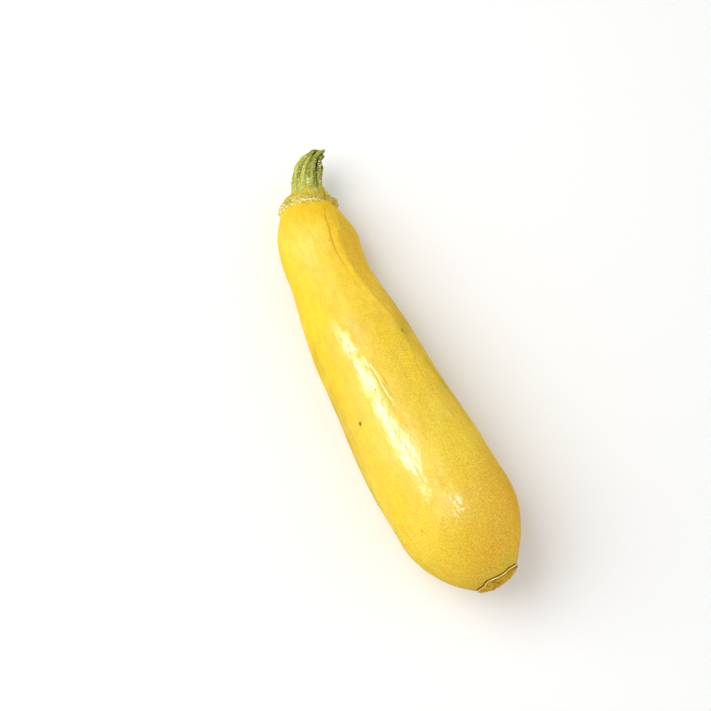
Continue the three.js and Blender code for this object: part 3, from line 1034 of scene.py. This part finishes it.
stemShape = {
    "line": [
        [9.5, -4.4, 14.9], [5.0, -2.7, 14.6], [0.4, -1.0, 14.4], [-3.0, 0.4, 14.5],
        [-6.8, 1.6, 14.8], [-10.4, 3.2, 15.2], [-13.7, 5.6, 15.8], [-16.4, 8.8, 16.5],
        [-17.5, 11.8, 17.3], [-17.3, 14.6, 17.9],
    ],
    "radii": [
        [0.0, 6.0], [0.07, 10.8], [0.15, 13.0], [0.2, 12.8], [0.27, 11.3], [0.35, 9.2],
        [0.44, 7.2], [0.57, 6.7], [0.71, 5.9], [0.83, 4.5], [0.93, 3.0], [1.0, 2.2],
    ],
    "ridges": 5,
    "ridgeDepth": 0.13,
    "footAt": 0.14,
    "footLength": 0.16,
    "footLobe": 0.05,
    "ridgeTurn": 0.35,
    # each groove is rows of [share of the way along, angle, depth]
    "grooves": [
        [[0.40, 2.12, 0.05], [0.46, 2.20, 0.2], [0.54, 2.29, 0.35], [0.67, 2.32, 0.7], [0.78, 2.31, 1.4],
         [0.89, 2.27, 1.9], [1.0, 2.20, 1.9]],
        [[0.48, 1.67, 0.0], [0.56, 1.66, 0.12], [0.68, 1.67, 0.22], [0.82, 1.53, 0.5], [0.90, 1.47, 1.1],
         [1.0, 1.40, 1.6]],
        [[0.44, 0.90, 0.0], [0.55, 0.92, 0.10], [0.75, 0.95, 0.15], [1.0, 0.98, 0.5]],
        [[0.42, 3.40, 0.3], [0.60, 3.49, 0.9], [1.0, 3.49, 1.2]],
        [[0.42, 4.70, 0.3], [0.60, 4.75, 0.9], [1.0, 4.75, 1.2]],
        [[0.42, 6.05, 0.3], [0.60, 6.00, 0.8], [1.0, 6.00, 1.0]],
    ],
    # how far the torn end reaches past the cut, round the stem: [angle, mm]
    "tornEnd": [[0.0, -2.6], [0.6, -3.4], [1.1, -3.4], [1.34, -2.2], [1.5, -0.1], [1.65, 0.6], [1.8, 0.1],
                [1.95, 0.7], [2.12, 0.1], [2.35, -0.9], [2.7, -0.7], [3.2, -0.9], [4.2, -1.6], [5.2, -1.6],
                [6.2832, -2.6]],
    # painted glints on the top of the stem and on the foot's rim: [share along, angle, half length in share,
    # half width in radians]
    "paintedGlints": [[0.533, 1.66, 0.007, 0.10], [0.492, 1.64, 0.007, 0.11], [0.185, 1.56, 0.009, 0.13],
               [0.183, 1.74, 0.008, 0.06]],
    # the foot's own lobe is parted from its neighbour by a cleft: [share along, angle, depth]
    "cleft": [[0.10, 2.18, 0.4], [0.16, 2.20, 1.0], [0.23, 2.27, 1.0], [0.28, 2.36, 1.0], [0.35, 2.49, 0.9],
              [0.42, 2.60, 0.3], [0.48, 2.66, 0.0]],
    "lobeAngle": 2.78,
    "lobeHeight": 1.1,
    "ridgeBulge": 1.1,  # mm that the ridge right of the deep groove stands out towards the tip
    "grooveWidth": 0.10,
    "fibre": 0.10,
    "lumpHeight": 0.14,
    "pebble": 1.75,  # size of the cork cells on the foot
    "pebbleHeight": 0.36,
    "faceShares": [0.93, 0.82, 0.68, 0.52, 0.36, 0.2, 0.08],  # rings on the cut face, from its edge inwards
    "faceHollow": 0.9,
    "flowRadius": 6.0,
    # [cells along and around, seed] of the noises that roughen it
    "noises": {
        "strands": [(5, 92), 41],
        "fineStrands": [(14, 120), 42],
        "lumps": [(26, 30), 43],
        "wander": [(20, 12), 46],
        "tornTips": [(4, 26), 45],
        "wear": [(34, 14), 48],
    },
    "rings": 320,
    "sides": 280,
}

# where the stem changes: a range is in shares of the way along it, a side is [angle, half width] in radians
stemZones = {
    "horn": [0.34, 0.5],  # from the foot to the ribbed stalk
    "tipward": [0.62, 0.9],
    "torn": [0.76, 1.0],
    "jagged": [0.94, 1.0],
    "cut": [0.965, 1.0],
    "pebbles": [[0.10, 0.15], [0.25, 0.37]],  # where each of these starts and ends
    "lobe": [[0.15, 0.24], [0.28, 0.38]],
    "bulge": [[0.60, 0.85], [0.95, 1.02]],
    "bristles": [[0.4, 0.48], [0.90, 0.95]],
    "granules": [[0.13, 0.16], [0.24, 0.36]],
    "creamEnd": [0.20, 0.34],
    "footEnd": [0.30, 0.44],
    "clayEnd": [0.25, 0.33],
    # the foot's rim is pale and carries a painted highlight along its top
    "rimAt": [0.180, 0.014],  # [share along, half length] of the foot's bright rim and of the pale tongue
    "tongueAt": [0.392, 0.022],
    "lobeWidth": 0.45,
    "bulgeSide": [2.85, 0.4],
    "tornSide": [1.62, 0.30],
    "creamSide": [0.6, 0.85],
    "rimHighlightSide": [1.58, 0.30],
    "tongueSide": [1.99, 0.13],
    "claySide": [2.7, 0.45],
    # sides of the stem given painted shade and painted light
    "shadedSide": [2.6, 0.5],
    "litSide": [1.62, 0.25],
    "deepSide": [2.68, 0.34],
    "litRidgeSide": [1.64, 0.16],
    "bristleSides": [[0.62, 0.25], [2.62, 0.32]],
    "greenFoot": [[2.85, 3.25], [4.0, 4.4]],  # angles between which the foot is greener
}


def makeStemMaterial():
    finish = stemFinish
    material, tree, shader = newMaterial("ribbedStem")
    place = placeOf(tree)
    flow = addNode(tree, "ShaderNodeAttribute", {"attribute_name": "flow"}).outputs["Vector"]
    clouds = mottleOf(tree, place, *finish["clouds"])
    grain, fibres = mottleOf(tree, flow, *finish["grain"]), mottleOf(tree, flow, *finish["fibres"])
    spots = useGroup(tree, fineSpots, Vector=place, Scale=finish["spots"], Coverage=0.5)["Mask"]
    tone = mixColour(tree, clouds, finish["green"], finish["paleGreen"])
    tone = stained(tree, tone, grain, finish["grainAmount"], finish["darkGreen"])
    # painted shade in the fibres' valleys, then paler strands with painted light along the lit top
    tone = mixColour(tree, maskOf(tree, "valley"), tone, finish["darkGreen"])
    tone = mixColour(tree, maskOf(tree, "strandAndLitSide"), tone, finish["paleGreen"])
    tone = stained(tree, tone, fibres, finish["fibreAmount"], finish["darkGreen"])
    tone = stained(tree, tone, spots, finish["spotAmount"], finish["fleck"])
    foot = mixColour(tree, maskOf(tree, "cell"), finish["foot"], finish["cream"])
    foot = stained(tree, foot, grain, finish["footGrainAmount"], finish["footGrain"])
    foot = layered(tree, foot, finish, ["clay"])
    foot = stained(tree, foot, spots, finish["footSpotAmount"], finish["pit"])
    tone = mixColour(tree, maskOf(tree, "foot"), tone, foot)
    tone = layered(tree, tone, finish, ["pit", "groove", "paintedGlint", "cut"])
    tone = stained(tree, tone, maskOf(tree, "pith"), clouds, finish["pith"])
    fill(tree, shader.inputs["Base Color"], tone)
    rough = maths(tree, "MULTIPLY_ADD", clouds, finish["cloudRoughness"], finish["roughness"])
    fill(tree, shader.inputs["Roughness"], rough)
    grains = maths(tree, "MULTIPLY", grain, finish["grainHeight"])
    height = maths(tree, "ADD", grains, maths(tree, "MULTIPLY", spots, finish["spotHeight"]))
    height = maths(tree, "SUBTRACT", height, maths(tree, "MULTIPLY", fibres, finish["fibreDepth"]))
    crust = useGroup(tree, corkCrust, Vector=place, Scale=finish["crust"])["Height"]
    crumbs = maths(tree, "MULTIPLY", crust, maskOf(tree, "foot"))
    height = maths(tree, "ADD", height, maths(tree, "MULTIPLY", crumbs, finish["crustHeight"]))
    bumped(tree, shader, height, *finish["bump"])
    setConstants(shader, finish["constants"])
    return material


def stemLine():
    # centres evenly spread along the stem's line, in mm, the share of the way of each, and the length
    line = np.array(stemShape["line"], float)
    steps = np.sqrt(np.linalg.norm(np.diff(line, axis=0), axis=1))
    knots = np.concatenate([[0], np.cumsum(steps)])
    fine = curveThrough(np.column_stack([knots, line]), np.linspace(0, knots[-1], 2000))
    travelled = np.concatenate([[0], np.cumsum(np.linalg.norm(np.diff(fine, axis=0), axis=1))])
    u = np.linspace(0.0, 1.0, stemShape["rings"])
    centres = np.stack([np.interp(u * travelled[-1], travelled, fine[:, k]) for k in range(3)], axis=-1)
    return centres, u, travelled[-1]


def makeStem():
    s, z = stemShape, stemZones
    centres, u, length = stemLine()
    tangents, across, over = framesAlong(centres)
    angle = np.linspace(0, 2 * math.pi, s["sides"], endpoint=False)[None, :]
    grid = np.broadcast_to(angle, (len(u), s["sides"]))
    along = np.broadcast_to(u[:, None], grid.shape)

    def noise(name):
        return softNoise(along, grid, *s["noises"][name])

    def near(centre, width):
        return bell(angleFrom(grid, centre), width)

    strands = noise("strands") + 0.5 * noise("fineStrands")
    lumps = noise("lumps") * s["lumpHeight"]
    wander = noise("wander")
    horn = smoothStep(*z["horn"], along)
    towardsTip = smoothStep(*z["tipward"], along)
    # ridges down the stem, lobes round the foot
    foot = bell(along - s["footAt"], s["footLength"])
    ridge = np.abs(np.cos(s["ridges"] * (grid - s["ridgeTurn"]) / 2))
    shape = 1 - s["ridgeDepth"] * (1 - foot) * (1 - ridge) + s["footLobe"] * foot * (2 * ridge - 1)
    deep = np.zeros_like(grid)
    for rows in s["grooves"]:
        grooveAngle, depth = curveThrough(rows, u).T[..., None]
        started = smoothStep(rows[0][0] - 0.02, rows[0][0] + 0.02, along)
        wobble = grooveAngle + 0.03 * np.sin(along * 23 + rows[0][1] * 9)
        deep = np.maximum(deep, started * depth * near(wobble, s["grooveWidth"]))
    # the broad ridge on top is full low down, and splits in two towards the tip
    full = near(s["ridgeTurn"] + math.pi / s["ridges"], 0.3) * (1 - towardsTip)
    shape = shape + 0.07 * full * horn - 0.07 * deep
    cleftAngle, cleftDepth = curveThrough(s["cleft"], u).T[..., None]
    cleft = cleftDepth * near(cleftAngle, 0.05)
    shape = shape - 0.035 * cleft
    pastCleft = angleFrom(grid, cleftAngle)
    lobe = within(along, *z["lobe"]) * near(s["lobeAngle"], z["lobeWidth"]) * smoothStep(0.0, 0.15, pastCleft)
    bulge = within(along, *z["bulge"]) * near(*z["bulgeSide"])
    radius = curveThrough(s["radii"], u) * shape + s["lobeHeight"] * lobe + s["ridgeBulge"] * bulge
    # cork cells on the foot
    bare = ringsAbout(centres[:, None], across[:, None], over[:, None], radius, grid)
    border, cellTone = cellPattern(bare, s["pebble"], 47)
    pebblesStart, pebblesEnd = z["pebbles"]
    pebbled = smoothStep(*pebblesStart, along) * (1 - smoothStep(*pebblesEnd, along + 0.04 * strands))
    pebble = smoothStep(0.03, 0.4, border) * (0.4 + 0.6 * cellTone)
    pit = 1 - smoothStep(0.02, 0.26, border)
    # the foot is narrower on the side of the crease, and the top ridge stands up a little where it was torn
    radius = radius - 2.5 * bell(along - 0.165, 0.06) * near(s["lobeAngle"], z["lobeWidth"])
    radius = radius + 0.6 * near(*z["tornSide"]) * smoothStep(0.85, 1.0, along)
    radius = radius + horn * (s["fibre"] * strands + lumps)
    radius = radius + pebbled * (s["pebbleHeight"] * (pebble - 0.5) - 0.1 * pit + lumps)
    radius = radius + 0.08 * bell(along - 0.175, 0.018) * smoothStep(0.12, 0.16, along)
    # the cut tip is torn: the ridges stand past the grooves
    tornAngle, tornBy = np.array(s["tornEnd"]).T
    torn = smoothStep(*z["torn"], along) * np.interp(grid, tornAngle, tornBy)
    jagged = 0.4 * (ridge - 0.65) + 0.35 * noise("tornTips")
    torn = torn + smoothStep(*z["jagged"], along) * jagged
    points = ringsAbout(centres[:, None], across[:, None], over[:, None], radius, grid)
    points = points + tangents[:, None] * torn[..., None]
    # the cut face, hollowed towards its middle
    edge, centre, ahead = points[-1], centres[-1], tangents[-1]
    faceRings = []
    for share in s["faceShares"]:
        ripple = 0.15 * np.sin(grid[0] * 9 + share * 20)[:, None]
        sunk = s["faceHollow"] * (1 - share) ** 0.5 + ripple
        faceRings.append(centre + (edge - centre) * share - ahead * sunk)
    points = np.concatenate([points, np.array(faceRings)])
    # where the foot's cork is pale, and its pale rim against the fruit, with a painted highlight along its
    # top
    creamy = 0.15 + 0.85 * near(*z["creamSide"])
    creamy = creamy * (1 - smoothStep(*z["creamEnd"], along + 0.05 * wander))
    (rimAt, rimLength), (tongueAt, tongueLength) = z["rimAt"], z["tongueAt"]
    paleRimHighlight = bell(along - rimAt, rimLength) * (0.6 * near(*z["rimHighlightSide"]) + 0.15)
    tongue = bell(along - tongueAt, tongueLength) * near(*z["tongueSide"])
    greener = within(grid, *z["greenFoot"])
    # painted glints
    paintedGlint = strongest(grid, [
        patchOver(along - gleamAlong, angleFrom(grid, gleamAngle), halfLength, halfWidth)
        for gleamAlong, gleamAngle, halfLength, halfWidth in s["paintedGlints"]])
    footMask = 1 - smoothStep(*z["footEnd"], along + 0.04 * wander - 0.05 * ridge + 0.03 * strands)
    footMask = footMask * (1 - 0.7 * lobe * smoothStep(0.20, 0.28, along)) * (1 - 0.6 * greener)
    clay = near(*z["claySide"]) * smoothStep(0.0, 0.1, pastCleft) * (0.15 + 0.6 * cellTone)
    clay = clay * (1 - smoothStep(*z["clayEnd"], along + 0.04 * wander))
    worn = 1 + 0.4 * noise("wear")
    # painted shade: darker green in the fibres' valleys, more on the side away from the light, less on the
    # lit top, and along the deep groove; painted light: paler strands, more along the lit top
    valley = 0.35 + 0.6 * near(*z["shadedSide"]) - 0.25 * near(*z["litSide"])
    valley = valley * smoothStep(0.05, 0.5, -strands)
    valley = valley + (0.5 + 0.4 * towardsTip) * near(*z["deepSide"])
    strandAndLitSide = 0.6 * smoothStep(0.05, 0.5, strands) + 0.5 * near(*z["litRidgeSide"]) * bell(along - 0.60, 0.12)
    fewSide, manySide = z["bristleSides"]
    bristle = within(along, *z["bristles"]) * np.clip(1 - 1.5 * deep, 0, 1)
    bristle = bristle * (0.2 + near(*fewSide) + 1.4 * near(*manySide))

    def carried(mask, onFace=None):
        # on over the cut face, as it is at the edge or with a value of its own
        tail = np.repeat(mask[-1:], len(faceRings), axis=0)
        if onFace is not None:
            tail = np.full_like(tail, onFace)
        return np.clip(np.concatenate([mask, tail]), 0, 1)

    masks = {
        "foot": carried(footMask),
        # the cream colour also paints the highlight along the foot's rim
        "cell": carried(np.clip(creamy * (1.9 * pebble - 0.35) + paleRimHighlight + tongue, 0, 1)),
        "clay": carried(1.2 * clay),
        # the cork's dark pits, and painted shade in the cleft beside the lobe
        "pit": carried((0.42 + 0.18 * creamy) * pit * pebbled * (1 - paleRimHighlight) + 0.8 * cleft),
        # painted shade in the grooves, darker where they are deeper, and uneven along them
        "groove": carried(0.95 * np.clip(deep, 0, 1.3) * (0.75 + 0.4 * towardsTip) * worn),
        "valley": carried(horn * valley),
        "strandAndLitSide": carried(horn * strandAndLitSide),
        "paintedGlint": carried(0.85 * paintedGlint, 0.0),
        "cut": carried(0.8 * smoothStep(*z["cut"], along + 0.01 * wander - 0.01 * ridge), 1.0),
        "pith": carried(0 * along, 1.0),
        "bristle": carried(bristle, 0.0),
        "granule": carried(within(along, *z["granules"]), 0.0),
    }
    # places along and around the stem, for patterns that follow it
    flow = np.stack([along * length, s["flowRadius"] * np.cos(grid), s["flowRadius"] * np.sin(grid)], axis=-1)
    flow = np.concatenate([flow, np.repeat(flow[-1:], len(faceRings), axis=0)])
    return points + middle, masks, flow


stemPoints, stemMasks, stemFlow = makeStem()
stemMaterial = makeStemMaterial()
squashStem = skinOver("squashStem", stemPoints, stemPoints[0].mean(axis=0), stemPoints[-1].mean(axis=0),
                      stemMasks, stemMaterial, stemFlow)
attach(squashStem, "root")
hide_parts("stem")
print("stem made")


# what grows on the stem: bristle bases along its ridges, cork granules on its foot
def scatterTree(name, shapeNode, shapeSizes):
    # points spread over the surface where a mask allows, one small shape on each, standing along the normal
    tree = bpy.data.node_groups.new(name, "GeometryNodeTree")
    for socketName, kind, value in (
        ("Geometry", "Geometry", None),
        ("Density", "Float", 100000.0),
        ("Spacing", "Float", 0.0006),
        ("Smallest", "Float", 0.5),
        ("Largest", "Float", 1.0),
        ("Narrowness", "Float", 0.62),
        ("Squash", "Float", 0.6),
        ("Unevenness", "Float", 0.0003),
        ("Seed", "Int", 7),
        ("Mask", "String", "bristle"),
        ("Material", "Material", None),
    ):
        newSocket(tree, socketName, "INPUT", "NodeSocket" + kind, value)
    newSocket(tree, "Geometry", "OUTPUT", "NodeSocketGeometry")
    given, out = tree.nodes.new("NodeGroupInput").outputs, tree.nodes.new("NodeGroupOutput").inputs
    allowed = addNode(tree, "GeometryNodeInputNamedAttribute", {"data_type": "FLOAT"}, Name=given["Mask"])
    spread = addNode(tree, "GeometryNodeDistributePointsOnFaces", {"distribute_method": "POISSON"})
    fill(tree, spread.inputs["Mesh"], given["Geometry"])
    fill(tree, spread.inputs["Distance Min"], given["Spacing"])
    fill(tree, spread.inputs["Density Max"], given["Density"])
    fill(tree, spread.inputs["Density Factor"], allowed.outputs["Attribute"])
    fill(tree, spread.inputs["Seed"], given["Seed"])
    shape = tree.nodes.new(shapeNode)
    setConstants(shape, shapeSizes)
    # the shape is made lumpy, turned at random about the normal and sized at random
    where = tree.nodes.new("GeometryNodeInputPosition")
    wave = addNode(tree, "ShaderNodeTexNoise", Vector=where.outputs[0], Scale=2600.0, Detail=1.0)
    centred = addNode(tree, "ShaderNodeVectorMath", {"operation": "SUBTRACT"})
    fill(tree, centred.inputs[0], wave.outputs["Color"])
    centred.inputs[1].default_value = (0.5, 0.5, 0.5)
    offset = addNode(tree, "ShaderNodeVectorMath", {"operation": "SCALE"})
    fill(tree, offset.inputs[0], centred.outputs[0])
    fill(tree, offset.inputs["Scale"], given["Unevenness"])
    lump = tree.nodes.new("GeometryNodeSetPosition")
    fill(tree, lump.inputs["Geometry"], shape.outputs["Mesh"])
    fill(tree, lump.inputs["Offset"], offset.outputs[0])
    spin = addNode(tree, "FunctionNodeRandomValue", {"data_type": "FLOAT"})
    spin.inputs[3].default_value = 2 * math.pi
    fill(tree, spin.inputs["Seed"], given["Seed"])
    turned = addNode(tree, "FunctionNodeRotateRotation", {"rotation_space": "LOCAL"})
    fill(tree, turned.inputs["Rotation"], spread.outputs["Rotation"])
    turn = addNode(tree, "ShaderNodeCombineXYZ", Z=spin.outputs[1])
    fill(tree, turned.inputs["Rotate By"], turn.outputs[0])
    size = addNode(tree, "FunctionNodeRandomValue", {"data_type": "FLOAT"})
    fill(tree, size.inputs[2], given["Smallest"])
    fill(tree, size.inputs[3], given["Largest"])
    fill(tree, size.inputs["Seed"], given["Seed"])
    flat = maths(tree, "MULTIPLY", size.outputs[1], given["Squash"])
    narrow = maths(tree, "MULTIPLY", size.outputs[1], given["Narrowness"])
    scale = addNode(tree, "ShaderNodeCombineXYZ", X=size.outputs[1], Y=narrow, Z=flat)
    placed = tree.nodes.new("GeometryNodeInstanceOnPoints")
    fill(tree, placed.inputs["Points"], spread.outputs["Points"])
    fill(tree, placed.inputs["Instance"], lump.outputs["Geometry"])
    fill(tree, placed.inputs["Rotation"], turned.outputs["Rotation"])
    fill(tree, placed.inputs["Scale"], scale.outputs[0])
    real = addNode(tree, "GeometryNodeRealizeInstances")
    fill(tree, real.inputs[0], placed.outputs[0])
    finished = tree.nodes.new("GeometryNodeSetMaterial")
    fill(tree, finished.inputs["Geometry"], real.outputs[0])
    fill(tree, finished.inputs["Material"], given["Material"])
    fill(tree, out["Geometry"], finished.outputs[0])
    return tree


def growOn(ground, name, tree, values):
    # runs the tree on a copy of the ground mesh and keeps only what it made, as a plain mesh
    piece = bpy.data.objects.new(name, ground.data.copy())
    bpy.context.scene.collection.objects.link(piece)
    modifier = piece.modifiers.new(name, "NODES")
    modifier.node_group = tree
    for item in tree.interface.items_tree:
        if item.in_out == "INPUT" and item.name in values:
            modifier[item.identifier] = values[item.name]
    made = bpy.data.meshes.new_from_object(piece.evaluated_get(bpy.context.evaluated_depsgraph_get()))
    piece.modifiers.remove(modifier)
    piece.data = made
    made.name = name
    made.shade_smooth()
    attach(piece, "root")
    print(name, "made:", len(made.polygons), "faces")


fleckFinish = {
    "bristle": colour(240, 240, 176),
    "bristleShade": colour(212, 212, 100),
    "bristleRoughness": 0.5,
    "granule": colour(246, 228, 128),
    "granuleShade": colour(220, 198, 80),
    "granuleRoughness": 0.55,
    "cloudRoughness": 0.15,
    "clouds": 600.0,
    "crust": 1500.0,
    "bump": [0.4, 0.00005],  # strength, and depth in metres
}


def makeFleckMaterial(name, fleck):
    finish = fleckFinish
    material, tree, shader = newMaterial(name)
    place = placeOf(tree)
    clouds = mottleOf(tree, place, finish["clouds"])
    fill(tree, shader.inputs["Base Color"], mixColour(tree, clouds, finish[fleck], finish[fleck + "Shade"]))
    rough = maths(tree, "MULTIPLY_ADD", clouds, finish["cloudRoughness"], finish[fleck + "Roughness"])
    fill(tree, shader.inputs["Roughness"], rough)
    crust = useGroup(tree, corkCrust, Vector=place, Scale=finish["crust"])["Height"]
    bumped(tree, shader, crust, *finish["bump"])
    return material


# what grows where: lengths in metres, density in pieces to a square metre
bristleGrowth = {
    "Density": 1600000.0, "Spacing": 0.0009, "Smallest": 0.35, "Largest": 1.7, "Squash": 0.34, "Seed": 5,
    "Mask": "bristle", "Material": makeFleckMaterial("bristleBases", "bristle"),
}
granuleGrowth = {
    "Density": 4500000.0, "Spacing": 0.00045, "Smallest": 0.3, "Largest": 0.8, "Squash": 0.6, "Seed": 9,
    "Mask": "granule", "Material": makeFleckMaterial("corkGranules", "granule"),
}
fleckBall = {"Segments": 7, "Rings": 5, "Radius": 0.0003}
fleckTree = scatterTree("bristleScatter", "GeometryNodeMeshUVSphere", fleckBall)
growOn(squashStem, "stemBristles", fleckTree, bristleGrowth)
growOn(squashStem, "footGranules", fleckTree, granuleGrowth)


# the set: a pale floor, soft light, and the camera

studio = {
    "floor": colour(250, 250, 249),
    "floorSize": 40.0,
    "sky": 0.50,
    "under": colour(160, 112, 36),
    "target": (0.0, 0.0, 0.03),
    # name: [power, direction it comes from, distance, size, what it does]
    "lights": {
        "keyLight": [5.6, (-0.345, -0.47, 0.81), 0.9, (0.8, 0.8), "lights"],
        "keyShine": [11.0, (-0.345, -0.47, 0.81), 0.9, (0.42, 0.36), "shines"],
        "noseShine": [2.3, (0.057, 0.104, 0.992), 0.9, (0.14, 0.18), "shines"],
        "noseFill": [3.7, (0.80, -0.10, 0.45), 1.5, (1.7, 1.7), "lights"],
        "leftFill": [3.2, (-0.42, -0.91, 0.22), 1.2, (1.2, 0.7), "lights"],
        "rightFill": [3.7, (0.42, 0.91, 0.28), 1.2, (1.2, 0.7), "lights"],
    },
    "lens": 100.0,
    "lookAt": (-15.585, -5.044, 0.0),
    "viewAzimuth": 65.0,
    "viewElevation": 75.0,
    "viewDistance": 850.0,
    "floorRoughness": 0.9,
    "floorSpecular": 0.1,
    "horizon": [-0.25, 0.0],  # the height of the view over which the sky turns into the warm light from below
}


def makeFloor():
    half = studio["floorSize"] / 2
    mesh = bpy.data.meshes.new("floor")
    corners = [(-half, -half, 0), (half, -half, 0), (half, half, 0), (-half, half, 0)]
    mesh.from_pydata(corners, [], [(0, 1, 2, 3)])
    floor = bpy.data.objects.new("floor", mesh)
    bpy.context.scene.collection.objects.link(floor)
    material, _, shader = newMaterial("paleFloor")
    setConstants(shader, {
        "Base Color": studio["floor"],
        "Roughness": studio["floorRoughness"],
        "Specular IOR Level": studio["floorSpecular"],
    })
    mesh.materials.append(material)
    floor.visible_glossy = False


def aimed(location, target):
    location, target = Vector(location), Vector(target)
    return Matrix.Translation(location) @ (target - location).to_track_quat("-Z", "Y").to_matrix().to_4x4()


def makeLight(name, power, direction, distance, size, use):
    data = bpy.data.lights.new(name, "AREA")
    data.shape, data.size, data.size_y, data.energy = "RECTANGLE", size[0], size[1], power
    light = bpy.data.objects.new(name, data)
    back = Vector(direction).normalized()
    along = Vector((1, 0, 0)) - back * back.x
    along.normalize()
    turn = Matrix((along, back.cross(along), back)).transposed().to_4x4()
    light.matrix_world = Matrix.Translation(Vector(studio["target"]) + back * distance) @ turn
    light.visible_glossy = use == "shines"
    light.visible_diffuse = use == "lights"
    bpy.context.scene.collection.objects.link(light)


def makeCamera():
    azimuth, elevation = math.radians(studio["viewAzimuth"]), math.radians(studio["viewElevation"])
    back = Vector((math.sin(azimuth) * math.cos(elevation), -math.cos(azimuth) * math.cos(elevation),
                   math.sin(elevation)))
    target = Vector(studio["lookAt"]) * mm
    data = bpy.data.cameras.new("camera")
    data.lens = studio["lens"]
    data.sensor_width = 36.0
    camera = bpy.data.objects.new("camera", data)
    bpy.context.scene.collection.objects.link(camera)
    camera.matrix_world = aimed(target + back * studio["viewDistance"] * mm, target)
    bpy.context.scene.camera = camera


def makeSky():
    scene = bpy.context.scene
    scene.world = scene.world or bpy.data.worlds.new("sky")
    scene.world.use_nodes = True
    tree = scene.world.node_tree
    direction = tree.nodes.new("ShaderNodeTexCoord").outputs["Generated"]
    height = addNode(tree, "ShaderNodeSeparateXYZ", Vector=direction).outputs["Z"]
    tone = mixColour(tree, mapRange(tree, height, *studio["horizon"]), studio["under"], (1.0, 1.0, 1.0, 1.0))
    sky = tree.nodes["Background"]
    fill(tree, sky.inputs["Color"], tone)
    sky.inputs["Strength"].default_value = studio["sky"]
    scene.view_settings.view_transform = "Standard"


makeFloor()
for lightName, settings in studio["lights"].items():
    makeLight(lightName, *settings)
makeCamera()
makeSky()
print("set made")
